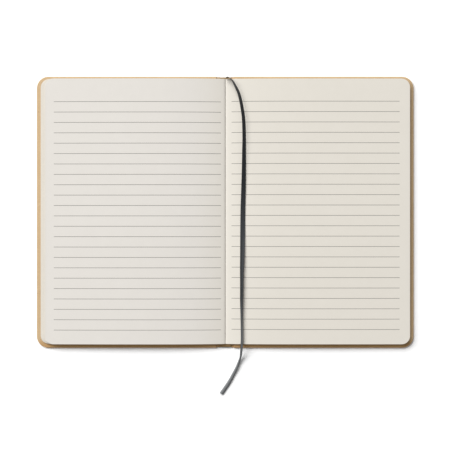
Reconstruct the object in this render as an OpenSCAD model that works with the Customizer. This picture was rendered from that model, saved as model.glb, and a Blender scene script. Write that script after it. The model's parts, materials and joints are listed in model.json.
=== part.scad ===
// Ruled notebook in soft kraft covers, lying open near its middle, with a ribbon marker.
// The gutter runs along Y with the head of the book at +Y, the front cover lies at -X,
// and the covers and the spine panel lie flat on z = 0.

/* [Cover] */
// Height of the covers along the spine
cover_h = 210; // [180:0.5:260]
// Width of one cover, from its crease to its fore edge
cover_w = 140.4; // [110:0.1:180]
// Thickness of the cover board
cover_t = 1.4; // [0.8:0.1:2.5]
// Radius of the rounded fore-edge corners of a cover
cover_corner_r = 9; // [3:0.5:15]
// How far the spine panel stops short of the covers, at each end
spine_recess = 0.5; // [0.2:0.1:2]
// Room left at each crease, between the hinge line and the board beside it
crease_gap = 0.05; // [0.02:0.01:0.15]
// Thickness of the endpapers and of the lining on the spine
liner_t = 0.2; // [0.1:0.05:0.4]
// How far the lining and the endpapers stop short of a crease
liner_inset = 0.4; // [0.3:0.05:1]

/* [Pages] */
// Leaves in the whole block
leaves = 80; // [72:2:110]
// Leaves that are turned over to the left
leaves_left = 45; // [36:1:50]
// Height that one leaf takes up at the crest of its stack, with the air below it
leaf_t = 0.1; // [0.08:0.01:0.13]
// How far the cover stands out past the pages at the fore edge
fore_margin = 2.8; // [1.5:0.1:5]
// The same at the head
head_margin = 2.1; // [1:0.1:5]
// The same at the tail
tail_margin = 3.1; // [1:0.1:5]
// Radius of the rounded fore-edge corners of a page
page_corner_r = 6.5; // [2:0.5:12]
// How far the gutter lies right of the middle of the spine
gutter_shift = 0.4; // [0:0.1:0.6]
// Sewn sections that show as steps at the fore edge, on each side
sections = 6; // [3:1:8]
// How far the fore edge slants from the bottom leaf to the top leaf, on the left
fan_left = 4; // [1:0.1:6]
// The same on the right
fan_right = 0.5; // [0.3:0.1:4]

/* [Page curve] */
// Paper left under the bottom of the gutter
gutter_web = 0.6; // [0.4:0.1:1]
// Distance over which both pages drop into the gutter itself
gutter_nip = 0.5; // [0.4:0.1:1.5]
// How far the left page bows down towards the gutter
bow_left = 3.3; // [1:0.1:3.6]
// Distance over which the left page bows
bow_len_left = 22; // [10:1:30]
// How far the right page bows down towards the gutter
bow_right = 2.7; // [1:0.1:2.9]
// Distance over which the right page bows
bow_len_right = 20; // [10:1:30]
// How much lower the left page lies at its fore edge than at its crest
sag_left = 1.7; // [0.2:0.1:2.2]
// The same for the right page
sag_right = 0.8; // [0.2:0.1:2]

/* [Ruling] */
// Distance from one rule to the next
rule_pitch = 8; // [6:0.1:8.5]
// Width of a printed rule
rule_w = 0.35; // [0.2:0.05:0.6]
// Height of the print above the paper
rule_t = 0.04; // [0.03:0.01:0.08]
// Room left between the print and the paper
rule_gap = 0.01; // [0.01:0.01:0.03]
// Distance from the head of the page to the first rule
rule_head = 17.4; // [12:0.1:25]
// Least distance from the last rule to the tail of the page
rule_tail = 10; // [8:0.5:20]
// Distance from the fore edge of the left page to the end of a rule
rule_blank = 10.4; // [8:0.1:30]
// Blank strip between the gutter and the rules of the left page
rule_start_left = 3.7; // [2:0.1:6]
// The same on the right page
rule_start_right = 4.5; // [2:0.1:8]
// How much nearer the tail the left page lies than the right one
left_page_slip = 0.4; // [0:0.1:1]

/* [Ribbon] */
// Width of the ribbon
ribbon_w = 4; // [2:0.1:5]
// Thickness of the ribbon
ribbon_t = 0.4; // [0.2:0.05:0.6]

/* [Hidden] */

$fn = 64;
past = 1;          // how far a cutting shape reaches past what it cuts
page_steps = 20;   // straight runs in a page's curve, on each side of the gutter
ribbon_sides = 8;

kraft = "#cfb08a";
kraft_light = "#dac09a";
cream = "#e8e3d6";
endpaper_cream = "#efe9da";
gauze = "#e6e2d8";
rule_grey = "#9b9892";
slate = "#3c4145";

block_t = leaves * leaf_t;
leaves_right = leaves - leaves_left;
base_z = cover_t + liner_t;

// A crease lies on the table, as far out as lets the closed covers hold the block between them.
hinge_x = block_t / 2 + liner_t + cover_t;
fore_x = hinge_x + cover_w;
board_x = hinge_x + crease_gap + cover_t;
panel_x = hinge_x - crease_gap - cover_t;

page_w = fore_x - fore_margin;
page_h = cover_h - head_margin - tail_margin;
page_mid_y = (tail_margin - head_margin) / 2;
page_head_y = cover_h / 2 - head_margin;
gutter_z = base_z + gutter_web;
crest_left = base_z + leaves_left * leaf_t;
crest_right = base_z + leaves_right * leaf_t;

rules = floor((page_h - rule_head - rule_tail) / rule_pitch) + 1;
rule_len = page_w + gutter_shift - rule_blank - rule_start_left;

// Height of the top leaf at distance d from the gutter. It bows down gently, never below the
// gutter, then drops steeply into the gutter itself, and sags a little towards the fore edge.
function curve_z(d, crest, bow, bow_len, sag) = let (reach = min(bow, crest - gutter_z))
    crest - reach * exp(-d / bow_len) - (crest - reach - gutter_z) * exp(-d / gutter_nip)
    - sag * pow(d / page_w, 2);
function left_z(d) = curve_z(d, crest_left, bow_left, bow_len_left, sag_left);
function right_z(d) = curve_z(d, crest_right, bow_right, bow_len_right, sag_right);

// Distances from the gutter at which the page curve has a point, closest near the gutter
curve_d = [for (i = [1:page_steps]) (page_w + past) * pow(i / page_steps, 2)];

// Section through the top leaves from the left fore edge to the right one, with x from the gutter
page_curve = concat(
    [for (i = [page_steps - 1:-1:0]) [-curve_d[i], left_z(curve_d[i])]],
    [[0, gutter_z]],
    [for (d = curve_d) [d, right_z(d)]]
);

function page_z(x) = lookup(x, page_curve);

// The points of the page curve from x0 to x1, with its two ends on the curve
function curve_between(x0, x1) = concat(
    [[x0, page_z(x0)]],
    [for (p = page_curve) if (p[0] > x0 && p[0] < x1) p],
    [[x1, page_z(x1)]]
);

// Route of the middle of the ribbon: x, y, z, and how far it is rolled about its own run.
// It leaves the spine at the head, lies along the right page and ends on the table past the tail.
ribbon_route = [
    [-0.6, 103.6, 3.2, 90],
    [0.9, 103.9, 4.2, 90],
    [2.7, 103.8, 5.1, 84],
    [4.5, 102.5, 5.8, 76],
    [6.1, 100.4, 5.8, 66],
    [7.8, 97.2, 5.9, 58],
    [9.4, 94, 5.9, 53],
    [10.9, 90, 5.9, 51],
    [12.1, 85, 5.9, 50],
    [13.1, 79.5, 5.9, 48],
    [14, 73, 6, 46],
    [14.4, 66, 5.9, 44],
    [14.6, 57, 5.9, 42],
    [14.5, 48, 5.8, 38],
    [14.4, 36, 5.5, 32],
    [14.2, 25, 5.3, 26],
    [13.9, 13, 5, 20],
    [13.6, 2, 4.7, 13],
    [13.5, -10, 4.35, 4],
    [13.4, -22, 4.2, -10],
    [13.3, -33, 4.4, -16],
    [13.1, -45, 4.7, -26],
    [13.1, -56, 4.9, -31],
    [13, -68, 5.1, -36],
    [13.1, -79, 5.3, -45],
    [13.2, -91, 5.4, -49],
    [13.2, -100, 5.5, -53],
    [13.2, -105, 5.4, -54],
    [12.7, -109, 4.7, -54],
    [12.1, -113, 3.8, -51],
    [10.6, -117.5, 2.8, -49],
    [8.8, -122, 2.1, -47],
    [6.5, -126.5, 1.8, -44],
    [4, -131, 1.7, -41],
    [1, -135.5, 1.6, -38],
    [-2.8, -141, 1.4, -34]
];

// Outline of a plate whose corners are rounded at x1 and square at x0
module fore_edge_plate(x0, x1, y0, y1, r) {
    translate([x0, y0]) square([x1 - r - x0, y1 - y0]);
    translate([x0, y0 + r]) square([x1 - x0, y1 - y0 - 2 * r]);
    for (y = [y0 + r, y1 - r]) {
        translate([x1 - r, y]) circle(r);
    }
}

// A section drawn in x and z, swept along y from the middle to both sides
module sweep_y(length) {
    rotate([90, 0, 0]) linear_extrude(length, center = true) children();
}

// The right-hand board, with its crease edge cut at 45 degrees so that it can fold upright
module board() {
    intersection() {
        linear_extrude(cover_t) {
            fore_edge_plate(hinge_x, fore_x, -cover_h / 2, cover_h / 2, cover_corner_r);
        }
        sweep_y(cover_h + 2 * past) {
            polygon([
                [hinge_x + crease_gap - past, -past],
                [board_x + past, cover_t + past],
                [fore_x + past, cover_t + past],
                [fore_x + past, -past]
            ]);
        }
    }
}

module front_cover() {
    color(kraft) mirror([1, 0, 0]) board();
}

module back_cover() {
    color(kraft) board();
}

// The panel under the gutter, with both long edges cut at 45 degrees
module spine() {
    color(kraft_light) sweep_y(cover_h - 2 * spine_recess) {
        polygon([
            [-panel_x - cover_t, 0],
            [-panel_x, cover_t],
            [panel_x, cover_t],
            [panel_x + cover_t, 0]
        ]);
    }
}

// The sheet pasted inside the right-hand board, as large as a page
module pasted_sheet() {
    translate([0, 0, cover_t]) linear_extrude(liner_t) {
        fore_edge_plate(
            board_x + liner_inset,
            page_w - liner_inset,
            page_head_y - page_h + liner_inset,
            page_head_y - liner_inset,
            page_corner_r
        );
    }
}

module front_endpaper() {
    color(endpaper_cream) mirror([1, 0, 0]) pasted_sheet();
}

module back_endpaper() {
    color(endpaper_cream) pasted_sheet();
}

module spine_lining() {
    half_w = panel_x - liner_inset;
    color(gauze) translate([-half_w, page_head_y - page_h, cover_t]) cube([2 * half_w, page_h, liner_t]);
}

// Outline of the leaves up to one section, with rounded corners at both fore edges
module page_outline(left_w, right_w) {
    y0 = -page_h / 2;
    y1 = page_h / 2;
    mirror([1, 0]) fore_edge_plate(-past, left_w, y0, y1, page_corner_r);
    fore_edge_plate(-past, right_w, y0, y1, page_corner_r);
}

// Everything from the bottom of the block up to the top of one section. Each section ends
// a little farther in than the one below it, because its leaves curve over a taller stack.
module stack_to(section) {
    share = section / sections;
    slant = (section - 1) / (sections - 1);
    left_w = page_w + gutter_shift - fan_left * slant;
    right_w = page_w - gutter_shift - fan_right * slant;
    intersection() {
        translate([0, 0, base_z]) linear_extrude(block_t) page_outline(left_w, right_w);
        sweep_y(page_h + 2 * past) {
            polygon(concat(
                [for (p = page_curve) [p[0], base_z + (p[1] - base_z) * share]],
                [[page_w + past, base_z - past], [-page_w - past, base_z - past]]
            ));
        }
    }
}

// The block is one solid: both halves hang together under the gutter.
module pages() {
    color(cream) translate([gutter_shift, page_mid_y, 0]) {
        for (section = [1:sections]) {
            stack_to(section);
        }
    }
}

// One printed rule from x0 to x1, on the page curve
module rule(x0, x1) {
    under = curve_between(x0, x1);
    last = len(under) - 1;
    sweep_y(rule_w) {
        polygon(concat(
            [for (p = under) [p[0], p[1] + rule_gap]],
            [for (i = [last:-1:0]) [under[i][0], under[i][1] + rule_gap + rule_t]]
        ));
    }
}

module ruled_lines() {
    color(rule_grey) translate([gutter_shift, page_head_y - rule_head, 0]) {
        for (i = [0:rules - 1]) {
            translate([0, -i * rule_pitch - left_page_slip, 0]) {
                rule(-rule_start_left - rule_len, -rule_start_left);
            }
            translate([0, -i * rule_pitch, 0]) {
                rule(rule_start_right, rule_start_right + rule_len);
            }
        }
    }
}

function unit(v) = v / norm(v);
function spot(i) = [ribbon_route[i][0], ribbon_route[i][1], ribbon_route[i][2]];

// The ribbon's eight-sided section at one point of its route, square to its run
function ribbon_ring(i) = let (
    last = len(ribbon_route) - 1,
    run = unit(spot(min(i + 1, last)) - spot(max(i - 1, 0))),
    level = unit(cross([0, 0, 1], run)),
    up = cross(run, level),
    roll = ribbon_route[i][3],
    across = level * cos(roll) - up * sin(roll),
    face = up * cos(roll) + level * sin(roll)
) [
    for (k = [0:ribbon_sides - 1]) let (a = 360 * (k + 0.5) / ribbon_sides)
        spot(i) + (across * cos(a) * ribbon_w + face * sin(a) * ribbon_t) / (2 * cos(180 / ribbon_sides))
];

module ribbon() {
    n = ribbon_sides;
    rings = len(ribbon_route);
    color(slate) polyhedron(
        points = [for (i = [0:rings - 1]) each ribbon_ring(i)],
        faces = concat(
            [[for (k = [0:n - 1]) k]],
            [for (i = [0:rings - 2], k = [0:n - 1]) [i * n + k, (i + 1) * n + k, i * n + (k + 1) % n]],
            [for (i = [0:rings - 2], k = [0:n - 1])
                [i * n + (k + 1) % n, (i + 1) * n + k, (i + 1) * n + (k + 1) % n]],
            [[for (k = [n - 1:-1:0]) (rings - 1) * n + k]]
        )
    );
}

front_cover();
spine();
back_cover();
front_endpaper();
back_endpaper();
spine_lining();
pages();
ruled_lines();
ribbon();
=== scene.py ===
"""Ruled notebook in soft kraft covers, lying open with its ribbon marker along the right page."""
import json
import math
import random

import bpy
from mathutils import Matrix, Vector


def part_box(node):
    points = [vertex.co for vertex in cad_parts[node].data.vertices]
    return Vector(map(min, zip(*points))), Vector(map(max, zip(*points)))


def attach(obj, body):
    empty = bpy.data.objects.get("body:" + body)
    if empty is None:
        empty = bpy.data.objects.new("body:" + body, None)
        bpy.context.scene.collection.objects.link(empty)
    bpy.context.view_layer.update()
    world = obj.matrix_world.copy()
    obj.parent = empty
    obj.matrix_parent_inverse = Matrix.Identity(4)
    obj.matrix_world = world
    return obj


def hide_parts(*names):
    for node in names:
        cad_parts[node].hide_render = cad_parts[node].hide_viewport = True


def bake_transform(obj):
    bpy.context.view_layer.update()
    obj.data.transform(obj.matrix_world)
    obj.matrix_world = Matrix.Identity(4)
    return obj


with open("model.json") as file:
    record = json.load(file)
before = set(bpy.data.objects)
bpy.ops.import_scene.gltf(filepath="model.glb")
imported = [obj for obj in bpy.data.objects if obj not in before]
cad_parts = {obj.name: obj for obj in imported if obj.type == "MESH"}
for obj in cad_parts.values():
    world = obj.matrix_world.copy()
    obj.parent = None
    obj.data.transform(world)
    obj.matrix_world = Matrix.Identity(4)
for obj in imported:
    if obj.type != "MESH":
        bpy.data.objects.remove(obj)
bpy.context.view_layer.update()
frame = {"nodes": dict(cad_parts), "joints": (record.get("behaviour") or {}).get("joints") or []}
mm = 0.001


# The view
# The photograph looks straight down on the open book from about two thirds of a metre, with the
# tail of the ribbon near the lower edge of the picture.
view_height = 650 * mm
view_across = 350.1 * mm
view_middle = (0.6 * mm, -10.7 * mm)
cover_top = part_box("back_cover")[1].z
lens = bpy.data.cameras.new("overhead")
lens.sensor_width = 36
lens.lens = lens.sensor_width * (view_height - cover_top) / view_across
overhead = bpy.data.objects.new("overhead", lens)
overhead.location = (*view_middle, view_height)
bpy.context.scene.collection.objects.link(overhead)
bpy.context.scene.camera = overhead


# The ribbon marker
# A narrow dark slate satin ribbon with a firm selvedge. Painted sheen makes it lighter near its
# glued end, from about the middle of the page down, and most towards its hanging end. It is glued
# to the spine at the head, turns slowly along the right page and ends on the table.
ribbon_run = [
    (-0.6, 103.6, 3.2, 90), (0.9, 103.9, 4.2, 90), (2.7, 103.8, 5.1, 84), (4.5, 102.5, 5.8, 76),
    (6.1, 100.4, 5.8, 66), (7.8, 97.2, 5.9, 58), (9.4, 94, 5.9, 53), (10.9, 90, 5.9, 51),
    (12.1, 85, 5.9, 50), (13.1, 79.5, 5.9, 48), (14, 73, 6, 46), (14.4, 66, 5.9, 44),
    (14.6, 57, 5.9, 42), (14.5, 48, 5.8, 38), (14.4, 36, 5.5, 32), (14.2, 25, 5.3, 26),
    (13.9, 13, 5, 20), (13.6, 2, 4.7, 13), (13.5, -10, 4.35, 4), (13.4, -22, 4.2, -10),
    (13.3, -33, 4.4, -16), (13.1, -45, 4.7, -26), (13.1, -56, 4.9, -31), (13, -68, 5.1, -36),
    (13.1, -79, 5.3, -45), (13.2, -91, 5.4, -49), (13.2, -100, 5.5, -53), (13.2, -105, 5.4, -54),
    (12.7, -109, 4.7, -54), (12.1, -113, 3.8, -51), (10.6, -117.5, 2.8, -49), (8.8, -122, 2.1, -47),
    (6.5, -126.5, 1.8, -44), (4, -131, 1.7, -41), (1, -135.5, 1.6, -38), (-2.8, -141, 1.4, -34),
]
ribbon_width = 3.75 * mm
ribbon_thick = 0.24 * mm
ribbon_selvedge = 0.36 * mm
selvedge_from = 0.78
worn_edge_from = 0.93
worn_edge_loss = 0.75
rings_a_point = 5
ribbon_across = 12
slanted_rings = 8
straight_after_rings = 16
table_gap = 0.15 * mm

# How far the ribbon curls either side of its middle, in degrees: on the page by so much for each
# degree that it leans to the left, and on the table as an arch. Curled, it lies to the left of its
# line, and on the table it keeps a share of that.
curl_least = 0.5
curl_by_lean = 2.7
curl_most = 128
arch_tight = 118
arch_open = 74
left_kept = 0.6

# Where its shape changes, from one distance below the middle of the book to another
ribbon_centres = (96 * mm, 109 * mm)
ribbon_twists = (104 * mm, 127 * mm)
ribbon_lowers = (105 * mm, 119 * mm)
ribbon_opens = (116 * mm, 140 * mm)
swings_out = (108 * mm, 114 * mm)
swings_back = (114 * mm, 123 * mm)
swing = 0.6 * mm


def eased(p0, p1, p2, p3, t):
    """The point a share t of the way from p1 to p2 on a smooth line through all four."""
    return tuple(
        b + 0.5 * t * (c - a + t * (2 * a - 5 * b + 4 * c - d + t * (3 * (b - c) + d - a)))
        for a, b, c, d in zip(p0, p1, p2, p3)
    )


ribbon_line = []
for i in range(len(ribbon_run) - 1):
    four = [ribbon_run[min(max(i + k, 0), len(ribbon_run) - 1)] for k in (-1, 0, 1, 2)]
    for k in range(rings_a_point):
        ribbon_line.append(eased(*four, k / rings_a_point))
ribbon_line.append(ribbon_run[-1])
ribbon_path = [Vector(p[:3]) * mm for p in ribbon_line]
ribbon_round = [
    (side, side * (1 - 2 * k / ribbon_across)) for side in (1, -1) for k in range(ribbon_across + 1)
]


def surface(name, points, faces, smooth_to=35):
    """A new mesh object in metres, smooth except at its edges."""
    mesh = bpy.data.meshes.new(name)
    mesh.from_pydata(points, [], faces)
    mesh.validate()
    mesh.polygons.foreach_set("use_smooth", [True] * len(mesh.polygons))
    mesh.set_sharp_from_angle(angle=math.radians(smooth_to))
    made = bpy.data.objects.new(name, mesh)
    bpy.context.scene.collection.objects.link(made)
    return made


def tube_faces(first, rings, around, closed=True):
    """The faces round a tube, from its first point's number, with flat ends if it is closed."""
    faces = []
    for here in range(first, first + (rings - 1) * around, around):
        for k in range(around):
            n = (k + 1) % around
            faces.append((here + k, here + n, here + around + n, here + around + k))
    if closed:
        last = first + (rings - 1) * around
        faces.append(tuple(range(first + around - 1, first - 1, -1)))
        faces.append(tuple(range(last, last + around)))
    return faces


def ramp(value, start, end):
    """How far a value has come from start to end, from 0 to 1, easing in and out."""
    t = min(1, max(0, (value - start) / (end - start)))
    return t * t * (3 - 2 * t)


def half_thickness(u):
    """Half the ribbon's thickness across it, from -1 at its left edge to 1 at its right."""
    rim = max(0, (abs(u) - selvedge_from) / (1 - selvedge_from))
    worn = max(0, (abs(u) - worn_edge_from) / (1 - worn_edge_from))
    full = ribbon_thick + (ribbon_selvedge - ribbon_thick) * math.sin(rim * math.pi)
    return full / 2 * (1 - worn_edge_loss * worn)


def ribbon_ring(i):
    """The points round the ribbon at one place on its line: over it from its right edge, and back
    under it. Where it leans to the left on the page, it curls up and its left edge stays. Off the
    book it comes down, swings a little to the left and twists over. On the table it lies arched on
    its two edges, and the arch opens towards the end."""
    p = ribbon_path[i]
    ahead = ribbon_path[min(i + 1, len(ribbon_path) - 1)]
    behind = ribbon_path[max(i - 1, 0)]
    run = (ahead - behind).normalized()
    level = Vector((0, 0, 1)).cross(run).normalized()
    up = run.cross(level)
    roll = ribbon_line[i][3]
    twisted = ramp(-p.y, *ribbon_twists)
    turn = math.radians(roll * (1 - twisted) - 180 * twisted)
    across = level * math.cos(turn) - up * math.sin(turn)
    face = up * math.cos(turn) + level * math.sin(turn)
    on_page = min(max(curl_least, -curl_by_lean * roll), curl_most)
    on_table = arch_tight + (arch_open - arch_tight) * ramp(-p.y, *ribbon_opens)
    curl = math.radians(on_page * (1 - twisted) + on_table * twisted)
    bend = ribbon_width / 2 / curl
    lift = bend * (1 - math.cos(max(0, curl + min(0, turn))))
    shift = (bend * math.sin(curl) - ribbon_width / 2) * (1 - (1 + left_kept) * twisted)
    middle = bend * (1 - math.cos(curl)) / 2 * ramp(-p.y, *ribbon_centres)
    ring = []
    for side, u in ribbon_round:
        lean = curl * u
        half = side * half_thickness(u)
        aside = bend * math.sin(lean) + shift - half * math.sin(lean)
        above = middle + bend * (math.cos(curl) - math.cos(lean)) + half * math.cos(lean)
        ring.append(p + across * aside + face * above + up * lift)
    left = swing * (ramp(-p.y, *swings_out) - ramp(-p.y, *swings_back))
    down = ramp(-p.y, *ribbon_lowers) * (min(q.z for q in ring) - table_gap)
    return [q - Vector((left, 0, down)) for q in ring]


def woven_ribbon(name):
    """The ribbon with its glued end cut on a slant and its weave laid out flat, in metres."""
    rings = [ribbon_ring(i) for i in range(len(ribbon_path))]
    around = len(ribbon_round)
    points, laid = [], []
    along = 0
    for i, p in enumerate(ribbon_path):
        along += (p - ribbon_path[max(i - 1, 0)]).length
        for k, (_, u) in enumerate(ribbon_round):
            late = slanted_rings * (1 - u) / 2 * max(0, 1 - i / straight_after_rings)
            at = i + late
            low = math.floor(at)
            high = min(low + 1, len(rings) - 1)
            points.append(rings[low][k].lerp(rings[high][k], at - low))
            laid.append((u * ribbon_width / 2, along))
    faces = tube_faces(0, len(rings), around, closed=False)
    for start, flip in ((0, True), ((len(rings) - 1) * around, False)):
        for k in range(ribbon_across):
            cap = (start + k, start + k + 1, start + around - 2 - k, start + around - 1 - k)
            faces.append(cap[::-1] if flip else cap)
    made = surface(name, points, faces, smooth_to=50)
    sheet = made.data.uv_layers.new(name="laid flat")
    for loop in made.data.loops:
        sheet.data[loop.index].uv = laid[loop.vertex_index]
    return made


ribbon = woven_ribbon("ribbon_marker")

# Pairs of colours for the dark and the light streaks of the satin, plain and with painted sheen, and
# where the painted sheen lies, by the distance along it from its glued end
fresh_slate = ((0.013, 0.015, 0.018, 1), (0.026, 0.03, 0.034, 1))
sheen_slate = ((0.036, 0.039, 0.042, 1), (0.054, 0.057, 0.06, 1))
strong_sheen_slate = ((0.165, 0.172, 0.175, 1), (0.23, 0.237, 0.241, 1))
between_threads = (0.01, 0.011, 0.013, 1)
sheen_near_glue = (34 * mm, 10 * mm)
sheen_far_along = (80 * mm, 118 * mm)
strong_sheen_along = (173 * mm, 203 * mm)


def plug(tree, place, value):
    """Gives a node's socket its value, or links the socket of another node to it."""
    if isinstance(value, bpy.types.NodeSocket):
        tree.links.new(value, place)
    else:
        place.default_value = value


def put(tree, kind, settings=None, **sockets):
    """Adds a node. A socket gets a value, or the socket of another node; _2 is its third input."""
    made = tree.nodes.new("ShaderNode" + kind)
    for key, value in (settings or {}).items():
        setattr(made, key, value)
    for key, value in sockets.items():
        place = made.inputs[int(key[1:])] if key[0] == "_" else made.inputs[key.replace("_", " ")]
        plug(tree, place, value)
    return made


def sum_of(tree, kind, a, b, c=0.0):
    """One step of arithmetic on two or three values."""
    return put(tree, "Math", {"operation": kind}, _0=a, _1=b, _2=c).outputs[0]


def graded(tree, value, start, end, low=0.0, high=1.0, smooth=False):
    """Goes from low to high as a value goes from start to end, and stays level beyond them."""
    settings = {"interpolation_type": "SMOOTHSTEP"} if smooth else None
    ends = {"From_Min": start, "From_Max": end, "To_Min": low, "To_Max": high}
    return put(tree, "MapRange", settings, Value=value, **ends).outputs["Result"]


def blended(tree, how_much, low, high, most=1.0):
    """One colour turning into another, at most by this share of the way."""
    if most < 1:
        how_much = sum_of(tree, "MULTIPLY", how_much, most)
    step = put(tree, "Mix", {"data_type": "RGBA"})
    for place, value in ((0, how_much), (6, low), (7, high)):
        plug(tree, step.inputs[place], value)
    return step.outputs[2]


def effect(name, takes, gives):
    """A shader node group with these inputs and outputs, and its two ends."""
    group = bpy.data.node_groups.new(name, "ShaderNodeTree")
    for label, kind, value in takes:
        socket = group.interface.new_socket(label, in_out="INPUT", socket_type="NodeSocket" + kind)
        if value is not None:
            socket.default_value = value
    for label, kind in gives:
        group.interface.new_socket(label, in_out="OUTPUT", socket_type="NodeSocket" + kind)
    return group, group.nodes.new("NodeGroupInput"), group.nodes.new("NodeGroupOutput")


def bare_material(name):
    """A new material and its node tree, with only the shader."""
    made = bpy.data.materials.new(name)
    made.use_nodes = True
    return made, made.node_tree


def coat(tree, colour, rough, gloss, relief=None, strength=0.0, depth=0.0):
    """Gives a material's shader its colour, roughness, gloss and the relief of its surface."""
    shader = tree.nodes["Principled BSDF"]
    plug(tree, shader.inputs["Base Color"], colour)
    plug(tree, shader.inputs["Roughness"], rough)
    plug(tree, shader.inputs["Specular IOR Level"], gloss)
    if relief is not None:
        bump = put(tree, "Bump", Strength=strength, Distance=depth, Height=relief)
        tree.links.new(bump.outputs["Normal"], shader.inputs["Normal"])


# Threads that cross: the satin of the ribbon, and the gauze on the spine. Where the waves of both
# threads are low together, there is a gap.
thread_sway = 1.6
gap_shows = (-1.3, -0.5)
weave, weave_in, weave_out = effect(
    "crossing threads",
    [
        ("Place", "Vector", None),
        ("Lengthwise", "Float", 1.0),
        ("Crosswise", "Float", 1.0),
        ("Slant", "Float", 0.0),
    ],
    [("Height", "Float"), ("Gap", "Float")],
)
spread = put(weave, "SeparateXYZ", Vector=weave_in.outputs["Place"])
wander = put(weave, "TexNoise", Vector=weave_in.outputs["Place"], Scale=900.0, Detail=2.0)
sway = sum_of(weave, "MULTIPLY", wander.outputs["Fac"], thread_sway)
slanted = sum_of(
    weave, "MULTIPLY_ADD", spread.outputs["X"], weave_in.outputs["Slant"], spread.outputs["Y"]
)
warp_angle = sum_of(weave, "DIVIDE", spread.outputs["X"], weave_in.outputs["Lengthwise"])
weft_angle = sum_of(weave, "DIVIDE", slanted, weave_in.outputs["Crosswise"])
warp_wave = sum_of(weave, "SINE", sum_of(weave, "MULTIPLY_ADD", warp_angle, math.tau, sway), 0.0)
weft_wave = sum_of(weave, "SINE", sum_of(weave, "MULTIPLY_ADD", weft_angle, math.tau, sway), 0.0)
both = sum_of(weave, "ADD", warp_wave, weft_wave)
weave.links.new(sum_of(weave, "MULTIPLY_ADD", both, 0.25, 0.5), weave_out.inputs["Height"])
weave.links.new(graded(weave, both, *gap_shows, low=1.0, high=0.0), weave_out.inputs["Gap"])

satin, tree = bare_material("slate satin")
laid_flat = put(tree, "UVMap", {"uv_map": "laid flat"}).outputs["UV"]
threads = put(
    tree,
    "Group",
    {"node_tree": weave},
    Place=laid_flat,
    Lengthwise=0.36 * mm,
    Crosswise=0.55 * mm,
    Slant=0.5,
)
streak_place = put(tree, "Mapping", Vector=laid_flat, Scale=(2600.0, 60.0, 1.0))
streaks = put(tree, "TexNoise", Vector=streak_place.outputs["Vector"], Scale=1.0, Detail=3.0)
# The plain satin, and the satin with painted sheen and with stronger painted sheen
fresh, rub_and_sheen, strong_sheen = (
    blended(tree, streaks.outputs["Fac"], *pair) for pair in (fresh_slate, sheen_slate, strong_sheen_slate)
)
from_glue = put(tree, "SeparateXYZ", Vector=laid_flat).outputs["Y"]
# Painted sheen near the glued end, from about the middle of the page down, and strongest near the end
near_glue = graded(tree, from_glue, *sheen_near_glue, smooth=True)
far_along = graded(tree, from_glue, *sheen_far_along, smooth=True)
outside = graded(tree, from_glue, *strong_sheen_along, smooth=True)
slate = blended(tree, sum_of(tree, "MAXIMUM", far_along, near_glue), fresh, rub_and_sheen)
slate = blended(tree, outside, slate, strong_sheen)
slate = blended(tree, threads.outputs["Gap"], slate, between_threads, most=0.6)
coat(tree, slate, rough=0.45, gloss=0.15, relief=threads.outputs["Height"], strength=0.35, depth=0.04 * mm)
ribbon.data.materials.append(satin)
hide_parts("ribbon")
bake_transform(ribbon)


# The covers
# Two soft boards with rounded fore-edge corners and a narrow panel along the spine, all wrapped
# in one natural kraft covering. The covering is pressed into a shallow groove at each crease.
back_hinge = next(joint for joint in frame["joints"] if joint["name"] == "back_cover_hinge")
hinge_x = back_hinge["pos_m"][0]
fore_x, cover_half, board_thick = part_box("back_cover")[1]
panel_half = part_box("spine")[1].y
cover_round = 9 * mm
edge_round = 0.45 * mm
edge_steps = 5
edge_rub = 0.5
corner_steps = 12
groove_half = 0.9 * mm
mitre = 0.55 * mm
crease_reach = 1.3 * mm
crease_thick = 0.32 * mm
crease_rise = 0.3 * mm
crease_fall = 0.35
crease_past_panel = 0.3 * mm

kraft_shades = ((0.53, 0.37, 0.205, 1), (0.615, 0.44, 0.255, 1))
kraft_fibre = (0.69, 0.53, 0.34, 1)
kraft_fleck = (0.34, 0.2, 0.1, 1)
kraft_rubbed = (0.7, 0.54, 0.35, 1)
# Painted shade: the kraft turns a deeper, darker brown over the last few millimetres towards the tail
kraft_tail_shade = (0.53, 0.3, 0.115, 1)
# Painted shade: dark brown kraft at the head and tail ends of the spine panel, down between the covers
kraft_spine_end_shade = (0.17, 0.105, 0.035, 1)
tail_shade_span = (-98.5 * mm, -103 * mm)
spine_end_shade_wide = (6 * mm, 3.5 * mm)
spine_end_shade_long = (102.5 * mm, 103.5 * mm)
fibre_size = (6 * mm, 0.67 * mm, 1.1 * mm)
fibre_turns = (0.2, 0.85, 1.4, 2.1, 2.75)
fibre_shows = (0.63, 0.76)
fleck_shows = (0.7, 0.76)

# Fibres that lie in five directions, with the soft cloudiness and the flecks of paper
paper_fibres, fibres_in, fibres_out = effect(
    "paper fibres",
    [("Place", "Vector", None), ("Fineness", "Float", 1.0)],
    [("Fibres", "Float"), ("Cloud", "Float"), ("Flecks", "Float"), ("Height", "Float")],
)
sized = put(
    paper_fibres,
    "VectorMath",
    {"operation": "SCALE"},
    Vector=fibres_in.outputs["Place"],
    Scale=fibres_in.outputs["Fineness"],
).outputs["Vector"]
combed = None
for turn in fibre_turns:
    laid_at = put(
        paper_fibres,
        "Mapping",
        {"vector_type": "TEXTURE"},
        Vector=sized,
        Rotation=(0.0, 0.0, turn),
        Scale=fibre_size,
    ).outputs["Vector"]
    comb = put(paper_fibres, "TexNoise", Vector=laid_at, Scale=1.0, Detail=1.0, Distortion=0.4)
    ridge = graded(paper_fibres, comb.outputs["Fac"], *fibre_shows)
    combed = ridge if combed is None else sum_of(paper_fibres, "MAXIMUM", combed, ridge)
cloud = put(paper_fibres, "TexNoise", Vector=sized, Scale=70.0, Detail=4.0, Roughness=0.6)
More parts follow.
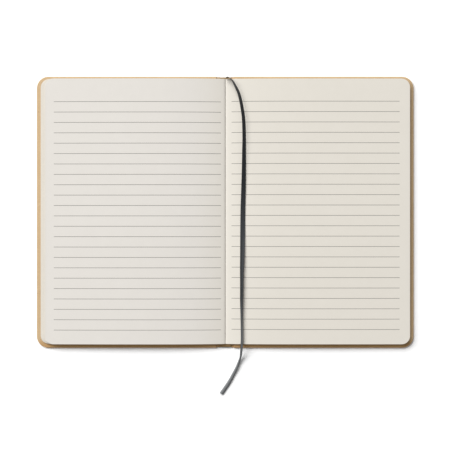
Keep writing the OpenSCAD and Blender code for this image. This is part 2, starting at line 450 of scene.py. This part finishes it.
speck = put(paper_fibres, "TexNoise", Vector=sized, Scale=1100.0, Detail=1.0)
fleck = graded(paper_fibres, speck.outputs["Fac"], *fleck_shows)
grit = put(paper_fibres, "TexNoise", Vector=sized, Scale=2400.0, Detail=3.0, Roughness=0.65)
raised = sum_of(paper_fibres, "MULTIPLY_ADD", combed, 0.5, grit.outputs["Fac"])
paper_fibres.links.new(combed, fibres_out.inputs["Fibres"])
paper_fibres.links.new(cloud.outputs["Fac"], fibres_out.inputs["Cloud"])
paper_fibres.links.new(fleck, fibres_out.inputs["Flecks"])
paper_fibres.links.new(raised, fibres_out.inputs["Height"])


def place_on_piece(tree):
    """Where a point of the surface is in the frame, in metres."""
    return put(tree, "TexCoord").outputs["Object"]


def fibres_of(tree, fineness):
    """The fibres, cloudiness and flecks of a piece's paper."""
    place = place_on_piece(tree)
    return put(tree, "Group", {"node_tree": paper_fibres}, Place=place, Fineness=fineness).outputs


kraft, tree = bare_material("natural kraft")
fibres = fibres_of(tree, 1.0)
kraft_colour = blended(tree, fibres["Cloud"], *kraft_shades)
kraft_colour = blended(tree, fibres["Fibres"], kraft_colour, kraft_fibre, most=0.4)
kraft_colour = blended(tree, fibres["Flecks"], kraft_colour, kraft_fleck, most=0.55)
rub = put(tree, "Attribute", {"attribute_name": "rub_and_sheen"}).outputs["Fac"]
rub = sum_of(tree, "MULTIPLY", rub, fibres["Cloud"])
kraft_colour = blended(tree, rub, kraft_colour, kraft_rubbed)
across, along = put(tree, "SeparateXYZ", Vector=place_on_piece(tree)).outputs[:2]
# Painted shade, darkening the kraft towards the tail edge
painted_tail_shade = graded(tree, along, *tail_shade_span, high=0.75)
kraft_colour = blended(tree, painted_tail_shade, kraft_colour, kraft_tail_shade)
# Painted shade at the two ends of the spine, stronger at the tail
on_spine = graded(tree, sum_of(tree, "ABSOLUTE", across, 0.0), *spine_end_shade_wide, smooth=True)
at_head = graded(tree, along, *spine_end_shade_long, high=0.6)
at_tail = graded(tree, along, *(-y for y in spine_end_shade_long), high=0.9)
painted_spine_end_shade = sum_of(tree, "MULTIPLY", sum_of(tree, "ADD", at_head, at_tail), on_spine)
kraft_colour = blended(tree, painted_spine_end_shade, kraft_colour, kraft_spine_end_shade)
kraft_rough = graded(tree, fibres["Cloud"], 0.0, 1.0, low=0.72, high=0.88)
coat(tree, kraft_colour, kraft_rough, gloss=0.3, relief=fibres["Height"], strength=0.4, depth=0.05 * mm)


def round_rim():
    """Inset, height and rub of each ring up a board's edge, rounded at the bottom and the top."""
    rings = []
    for top in (False, True):
        for k in range(edge_steps):
            a = math.pi / 2 * k / (edge_steps - 1)
            a = math.pi / 2 - a if top else a
            inset = edge_round * (1 - math.sin(a))
            rise = edge_round * (1 - math.cos(a))
            rings.append((inset, board_thick - rise if top else rise, edge_rub * math.sin(2 * a)))
    return rings


def wrap_in_kraft(made, rub):
    """Gives a piece the kraft covering, with how much it is worn at each point."""
    made.data.attributes.new("rub_and_sheen", "FLOAT", "POINT").data.foreach_set("value", rub)
    made.data.materials.append(kraft)


def pressed_plate(name, outline):
    """A board from the outline at each inset and height, closed flat below and above."""
    rings = round_rim()
    points, rub = [], []
    for inset, z, worn in rings:
        ring = outline(inset, z)
        points += [(x, y, z) for x, y in ring]
        rub += [worn] * len(ring)
    made = surface(name, points, tube_faces(0, len(rings), len(ring)))
    wrap_in_kraft(made, rub)
    return made


def board_outline(inset, z):
    """The right-hand board, its crease edge leaning back so that it can fold upright."""
    x0 = hinge_x + groove_half + mitre * z / board_thick
    x1 = fore_x - inset
    half = cover_half - inset
    r = cover_round - inset
    ring = [(x0, -half)]
    for corner in (0, 1):
        for k in range(corner_steps + 1):
            a = math.pi / 2 * (k / corner_steps + corner - 1)
            ring.append((x1 - r + r * math.cos(a), (half - r) * (2 * corner - 1) + r * math.sin(a)))
    return ring + [(x0, half)]


def panel_outline(inset, z):
    """The narrow panel between the two creases."""
    x1 = hinge_x - groove_half - mitre * z / board_thick
    half = panel_half - inset
    return [(-x1, -half), (x1, -half), (x1, half), (-x1, half)]


def other_side(name, plate):
    """The same board on the left, mirrored across the spine."""
    mesh = plate.data.copy()
    mesh.name = name
    mesh.transform(Matrix.Scale(-1, 4, (1, 0, 0)))
    mesh.flip_normals()
    made = bpy.data.objects.new(name, mesh)
    bpy.context.scene.collection.objects.link(made)
    return made


back_board = pressed_plate("back_board", board_outline)
front_board = other_side("front_board", back_board)
spine_panel = pressed_plate("spine_panel", panel_outline)
for piece, body, node in (
    (back_board, "back", "back_cover"),
    (front_board, "front", "front_cover"),
    (spine_panel, "book_block", "spine"),
):
    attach(piece, body)
    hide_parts(node)


def sheet_faces(upper, lower, columns, rows):
    """The broad faces of a thin closed sheet, and the faces along its edges. Its points lie in
    columns, and upper and lower are the numbers of the first one above and the first below."""
    wide = rows + 1
    broad = []
    for i in range(columns):
        for a in range(i * wide, i * wide + rows):
            broad.append((upper + a, upper + a + wide, upper + a + wide + 1, upper + a + 1))
            broad.append((lower + a, lower + a + 1, lower + a + wide + 1, lower + a + wide))
    last = columns * wide
    sides = [(a, a + wide) for a in range(0, last, wide)]
    sides += [(a + wide, a) for a in range(rows, last, wide)]
    sides += [(a + 1, a) for a in range(rows)]
    sides += [(a, a + 1) for a in range(last, last + rows)]
    return broad, [(upper + a, lower + a, lower + b, upper + b) for a, b in sides]


def crease_covering(name, side):
    """The strip of covering in one crease, pressed up into a groove."""
    columns, rows = 14, 12
    half = panel_half + crease_past_panel
    points = []
    for layer in (0, 1):
        for i in range(columns + 1):
            u = 2 * i / columns - 1
            z = crease_rise * (1 - crease_fall * u * u) + layer * crease_thick
            for j in range(rows + 1):
                points.append((side * (hinge_x + u * crease_reach), half * (2 * j / rows - 1), z))
    broad, rims = sheet_faces(len(points) // 2, 0, columns, rows)
    faces = broad + rims
    if side < 0:
        faces = [f[::-1] for f in faces]
    made = surface(name, points, faces)
    wrap_in_kraft(made, [0.0] * len(points))
    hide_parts("spine")
    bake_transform(made)


crease_covering("front_crease", -1)
crease_covering("back_crease", 1)


# The endpapers
# One plain uncoated sheet is pasted flat inside each cover. The pages hide it, so it keeps its
# solid from the frame, with the fibres of the covering in cream.
endpaper_shades = ((0.78, 0.74, 0.64, 1), (0.84, 0.8, 0.71, 1))
endpaper_fibre = (0.9, 0.87, 0.79, 1)

pasted, tree = bare_material("endpaper")
fibres = fibres_of(tree, 1.3)
sheet_colour = blended(tree, fibres["Cloud"], *endpaper_shades)
sheet_colour = blended(tree, fibres["Fibres"], sheet_colour, endpaper_fibre, most=0.12)
coat(tree, sheet_colour, rough=0.88, gloss=0.2, relief=fibres["Height"], strength=0.25, depth=0.02 * mm)


def refinish(node, finish):
    """Gives a solid of the frame that stays in the scene its own finish."""
    frame["nodes"][node].data.materials.clear()
    frame["nodes"][node].data.materials.append(finish)


refinish("front_endpaper", pasted)
refinish("back_endpaper", pasted)


# The spine lining
# A strip of open cotton gauze is glued along the backs of the sewn sections, with the glue
# showing yellow between its threads.
gauze_thread = (0.84, 0.82, 0.76, 1)
gauze_glue = (0.66, 0.58, 0.4, 1)
gauze_pitch = 0.9 * mm

gauze, tree = bare_material("glued gauze")
threads = put(
    tree,
    "Group",
    {"node_tree": weave},
    Place=place_on_piece(tree),
    Lengthwise=gauze_pitch,
    Crosswise=gauze_pitch,
).outputs
gauze_colour = blended(tree, threads["Gap"], gauze_thread, gauze_glue)
gauze_rough = graded(tree, threads["Gap"], 0.0, 1.0, low=0.9, high=0.5)
coat(tree, gauze_colour, gauze_rough, gloss=0.5, relief=threads["Height"], strength=0.6, depth=0.1 * mm)
refinish("spine_lining", gauze)


# The leaves
# Eighty leaves of cream writing paper, folded and sewn in twelve sections, with forty-five turned
# to the left. Each leaf rises from the spine, bows over the ones below it and ends a little short
# of them at the fore edge.
page_w = 143 * mm
page_half = 102.4 * mm
page_mid = 0.5 * mm
page_round = 6.5 * mm
base_z = 1.6 * mm
gutter_x = 0.4 * mm
gutter_web = 0.6 * mm
gutter_nip = 0.5 * mm
leaf_sides = {
    "left": {
        "side": -1, "body": "front", "leaves": 45,
        "bow": 3.3 * mm, "bow_len": 22 * mm, "sag": 1.7 * mm, "fan": 4 * mm,
    },
    "right": {
        "side": 1, "body": "back", "leaves": 35,
        "bow": 2.7 * mm, "bow_len": 20 * mm, "sag": 0.8 * mm, "fan": 0.5 * mm,
    },
}
sections = 6
leaf_rise = 0.1 * mm
leaf_gap = 0.12
leaf_trim = 0.22 * mm
leaf_slip = 0.07 * mm
steady_fan = 0.35
bound_short = 1.85 * mm
bound_climb = 0.6 * mm
bound_lift = 0.02 * mm
# Painted shade: each leaf darkens over this reach towards its fore edge and at its corners, the top leaf by
# this share
leaf_shade_reach = 1.5 * mm
leaf_shade_top_leaf = 0.4
leaf_stops = [
    0, 0.1, 0.22, 0.36, 0.54, 0.78, 1.1, 1.5, 2, 2.7, 3.5, 4.4, 5.4, 6.5, 7.7, 9, 10.5, 12.5, 15, 18,
    22, 27, 33, 40, 50, 62, 75, 88, 100, 110, 118, 125, 130, 133,
]
leaf_columns = [stop * mm for stop in leaf_stops]
column_clear = 0.5 * mm
leaf_corner_steps = 8
chance = random.Random(11)

# The upper leaves have a soft wave, which turns by these angles from tail to head, from gutter to
# fore edge and between the sides. They lift a little along the fore edge and at its corners.
wave_rows = 24
wavy_leaves = 3
wave_high = 0.1 * mm
wave_along = 5.1
wave_out = 4
wave_side = 1.3
wave_from = 0.1
fore_lift = 0.12 * mm
fore_lift_sharp = 6
fore_lift_between = 0.4
corner_from = 0.7
wavy_from = 0.9
plain_rows = [0, 0.006, 0.994, 1]

# The left page is a little cooler than the right, and one turns into the other near the gutter
left_paper = ((0.765, 0.732, 0.683, 1), (0.795, 0.762, 0.713, 1))
right_paper = ((0.768, 0.728, 0.654, 1), (0.798, 0.758, 0.684, 1))
paper_fibre = (0.86, 0.83, 0.77, 1)
paper_shade_colour = (0.67, 0.625, 0.545, 1)
paper_turns = (-30 * mm, 10 * mm)
edge_shades = ((0.6, 0.56, 0.47, 1), (0.84, 0.81, 0.74, 1))

writing_paper, tree = bare_material("writing paper")
fibres = fibres_of(tree, 1.5)
cooler = blended(tree, fibres["Cloud"], *left_paper)
warmer = blended(tree, fibres["Cloud"], *right_paper)
from_left = put(tree, "SeparateXYZ", Vector=place_on_piece(tree)).outputs["X"]
paper_colour = blended(tree, graded(tree, from_left, *paper_turns, smooth=True), cooler, warmer)
paper_colour = blended(tree, fibres["Fibres"], paper_colour, paper_fibre, most=0.1)
# Painted shade on the fanned fore edges of the leaves
painted_leaf_shade = put(tree, "Attribute", {"attribute_name": "painted_leaf_shade"}).outputs["Fac"]
paper_colour = blended(tree, painted_leaf_shade, paper_colour, paper_shade_colour, most=0.7)
coat(tree, paper_colour, rough=0.9, gloss=0.15, relief=fibres["Height"], strength=0.2, depth=0.015 * mm)

cut_edge, tree = bare_material("cut paper edge")
stacked = put(tree, "Mapping", Vector=place_on_piece(tree), Scale=(60.0, 60.0, 7000.0))
lines = put(tree, "TexNoise", Vector=stacked.outputs["Vector"], Scale=1.0, Detail=3.0, Roughness=0.7)
edge_colour = blended(tree, lines.outputs["Fac"], *edge_shades)
coat(tree, edge_colour, rough=0.92, gloss=0.15, relief=lines.outputs["Fac"], strength=0.4, depth=0.04 * mm)


def top_height(s, d):
    """Height of the top leaf of one side, at distance d from the gutter."""
    crest = base_z + s["leaves"] * leaf_rise
    drop = crest - s["bow"] - base_z - gutter_web
    return (
        crest
        - s["bow"] * math.exp(-d / s["bow_len"])
        - drop * math.exp(-d / gutter_nip)
        - s["sag"] * (d / page_w) ** 2
    )


def ripple(s, d, row):
    """How far the top leaf lies above the block at one of its rows, from the set of the paper."""
    out = min(1, max(0, d / page_w - wave_from) / (1 - wave_from))
    y = row / wave_rows
    wave = 0.5 + 0.5 * math.sin(wave_along * y + wave_out * out + wave_side * s["side"])
    corner = max(0, abs(2 * y - 1) - corner_from) / (1 - corner_from)
    lift = fore_lift * out ** fore_lift_sharp * (fore_lift_between + corner)
    return wave_high * out * wave + lift


def bound_edge(s, share):
    """How far from the gutter a leaf leaves the spine, given its share of the way up the block."""
    return (hinge_x - bound_short - s["side"] * gutter_x) * (1 - share)


def leaf_width(s, share, slack=0):
    """How far out a leaf reaches, given its share of the way up the block. Part of the slant at the
    fore edge is steady, and the rest is one step for each section."""
    step = (math.ceil(share * sections) - 1) / (sections - 1)
    slant = s["fan"] * (steady_fan * share + (1 - steady_fan) * step)
    return page_w - s["side"] * gutter_x - slant - slack


def leaf_top(s, share, d, bound, row):
    """Height of the top of a leaf, where it leaves the spine at distance bound from the gutter."""
    lift = ripple(s, d, row) * max(0, share - wavy_from) / (1 - wavy_from)
    if bound <= 0:
        return base_z + (top_height(s, d) - base_z) * share + lift
    climb = 1 - math.exp(-max(0, d - bound) / bound_climb)
    return base_z + bound_lift + (top_height(s, d) - base_z) * share * climb + lift


def leaf_grid(width, bound):
    """Distances from the gutter for a leaf's columns, with how far its corner cuts in at each."""
    corner = width - page_round
    grid = [(bound + d, 0.0) for d in leaf_columns if bound + d < corner - column_clear]
    for k in range(leaf_corner_steps + 1):
        a = math.pi / 2 * k / leaf_corner_steps
        grid.append((corner + page_round * math.sin(a), page_round * (1 - math.cos(a))))
    return grid


def leaf_row(y):
    """The row of the top leaf's wave at a place along the page."""
    return wave_rows * (y - page_mid + page_half) / (2 * page_half)


def sewn_section(name, s, first, last):
    """The leaves of one section, each a thin closed sheet."""
    points, faces, edges, leaf_shade = [], [], [], []
    n = s["leaves"]
    for leaf in range(first, last):
        share = (leaf + 1) / n
        bound = bound_edge(s, share)
        width = leaf_width(s, share, chance.uniform(0, leaf_trim))
        nudge = chance.uniform(-leaf_slip, leaf_slip)
        wavy = leaf >= n - wavy_leaves
        stations = [j / wave_rows for j in range(wave_rows + 1)] if wavy else plain_rows
        grid = leaf_grid(width, bound)
        start = len(points)
        for height in (share, (leaf + leaf_gap) / n):
            for d, cut in grid:
                for t in stations:
                    y = page_mid + nudge + (page_half - cut) * (2 * t - 1)
                    points.append((gutter_x + s["side"] * d, y, leaf_top(s, height, d, bound, leaf_row(y))))
                    # Painted shade towards the fore edge and at the corners of each leaf
                    at_corner = cut and not wavy and t in (0, 1)
                    rim = 1 if at_corner else max(0, 1 - (width - d) / leaf_shade_reach)
                    leaf_shade.append(rim * (leaf_shade_top_leaf if leaf == n - 1 else 1))
        under = start + len(grid) * len(stations)
        broad, rims = sheet_faces(start, under, len(grid) - 1, len(stations) - 1)
        faces += broad + rims
        edges += [0] * len(broad) + [1] * len(rims)
    if s["side"] < 0:
        faces = [f[::-1] for f in faces]
    made = surface(name, points, faces)
    made.data.materials.append(writing_paper)
    made.data.materials.append(cut_edge)
    made.data.polygons.foreach_set("material_index", edges)
    made.data.attributes.new("painted_leaf_shade", "FLOAT", "POINT").data.foreach_set("value", leaf_shade)
    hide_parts("pages")
    return made


def bend_with_cover(piece):
    """Bakes where a piece of the pages lies into its mesh."""
    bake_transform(piece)


for label, s in leaf_sides.items():
    for k in range(sections):
        first = round(s["leaves"] * k / sections)
        last = round(s["leaves"] * (k + 1) / sections)
        section = sewn_section(f"{label}_section_{k + 1}", s, first, last)
        bend_with_cover(section)


# The ruling
# Fine warm grey rules, eight millimetres apart and twenty-three to a page, printed on the two
# pages that show. They are laid a hair above the paper.
rule_count = 23
rule_pitch = 8 * mm
rule_wide = 0.35 * mm
rule_lift = 0.012 * mm
rule_thick = 0.01 * mm
rule_head = {"left": 17.8 * mm, "right": 17.4 * mm}
rule_start = {"left": 3.7 * mm, "right": 4.5 * mm}
rule_long = {"left": 128.8 * mm, "right": 129.5 * mm}
ink_shades = ((0.19, 0.182, 0.166, 1), (0.29, 0.28, 0.26, 1))

ink, tree = bare_material("rule ink")
patchy = put(tree, "TexNoise", Vector=place_on_piece(tree), Scale=1500.0, Detail=2.0)
coat(tree, blended(tree, patchy.outputs["Fac"], *ink_shades), rough=0.85, gloss=0.15)


def top_leaf_height(s, columns, d, y):
    """Height of the top leaf at any place, between the columns and the rows of its mesh."""
    before = max(c for c in columns if c <= d)
    after = min(c for c in columns if c >= d)
    share = 0 if after == before else (d - before) / (after - before)
    low = math.floor(leaf_row(y))
    past = leaf_row(y) - low
    z = 0
    for row, weight in ((low, 1 - past), (low + 1, past)):
        near = leaf_top(s, 1, before, 0, row)
        far = leaf_top(s, 1, after, 0, row)
        z += weight * (near * (1 - share) + far * share)
    return z


def printed_rules(label, s):
    """All the rules of one page, on the same columns as its top leaf."""
    columns = leaf_columns + [leaf_width(s, 1) - page_round]
    start = rule_start[label]
    end = start + rule_long[label]
    stops = [start] + [c for c in columns if start < c < end] + [end]
    points, faces = [], []
    for i in range(rule_count):
        middle = page_mid + page_half - rule_head[label] - i * rule_pitch
        faces += tube_faces(len(points), len(stops), 4)
        for d in stops:
            for edge, up in ((-1, 0), (1, 0), (1, 1), (-1, 1)):
                y = middle + edge * rule_wide / 2
                z = top_leaf_height(s, columns, d, y) + rule_lift + up * rule_thick
                points.append((gutter_x + s["side"] * d, y, z))
    if s["side"] < 0:
        faces = [f[::-1] for f in faces]
    made = surface(f"{label}_rules", points, faces)
    made.data.materials.append(ink)
    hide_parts("ruled_lines")
    bend_with_cover(made)


for label, s in leaf_sides.items():
    printed_rules(label, s)


# The table and the light
# A plain white studio table under two broad soft lamps, one beyond the head and one at the left,
# with even light from all round. The white stays white and keeps the book's shadow.
table_half = 800 * mm
table_drop = 0.1 * mm
table_white = (0.9, 0.9, 0.9, 1)
room_light = 0.22

# The camera sees the table whiter than it is, and more so from this far out to its edges
seen_from = 250 * mm
seen_white = (1.16, 1.8)


def background_rays(tree):
    """1 for a ray that shows the background itself: from the camera, a gloss or clear glass."""
    seen = put(tree, "LightPath")
    straight = sum_of(tree, "MAXIMUM", seen.outputs["Is Camera Ray"], seen.outputs["Is Glossy Ray"])
    return sum_of(tree, "MAXIMUM", straight, seen.outputs["Is Transmission Ray"])


table_mesh = bpy.data.meshes.new("table")
corners = [(x * table_half, y * table_half, 0) for x, y in ((-1, -1), (1, -1), (1, 1), (-1, 1))]
table_mesh.from_pydata(corners, [], [(0, 1, 2, 3)])
table = bpy.data.objects.new("table", table_mesh)
table.location.z = -table_drop
bpy.context.scene.collection.objects.link(table)
white, tree = bare_material("white table")
from_middle = put(tree, "VectorMath", {"operation": "LENGTH"}, Vector=place_on_piece(tree)).outputs["Value"]
outwards = graded(tree, from_middle, seen_from, table_half, *seen_white)
coat(tree, blended(tree, background_rays(tree), table_white, outwards), rough=1.0, gloss=0.0)
table_mesh.materials.append(white)


def softbox(name, towards, level, away=7.0, size=3.1):
    """A square soft lamp, bright enough to give the flat pages this share of their light."""
    data = bpy.data.lights.new(name, "AREA")
    data.shape = "SQUARE"
    data.size = size
    aim = Vector(towards).normalized()
    data.energy = level * math.pi ** 2 * away ** 2 / aim.z
    made = bpy.data.objects.new(name, data)
    made.location = aim * away
    made.rotation_euler = aim.to_track_quat("Z", "Y").to_euler()
    bpy.context.scene.collection.objects.link(made)


softbox("lamp_beyond_the_head", (-0.45, 1.2, 1), 0.405)
softbox("lamp_at_the_left", (-1.35, 0.85, 1), 0.41)

room = bpy.data.worlds.new("room")
room.use_nodes = True
bpy.context.scene.world = room
tree = room.node_tree
room_level = graded(tree, background_rays(tree), 0.0, 1.0, low=room_light, high=1.0)
tree.links.new(room_level, tree.nodes["Background"].inputs["Strength"])
tree.nodes["Background"].inputs["Color"].default_value = (1, 1, 1, 1)

bpy.context.scene.view_settings.view_transform = "Standard"
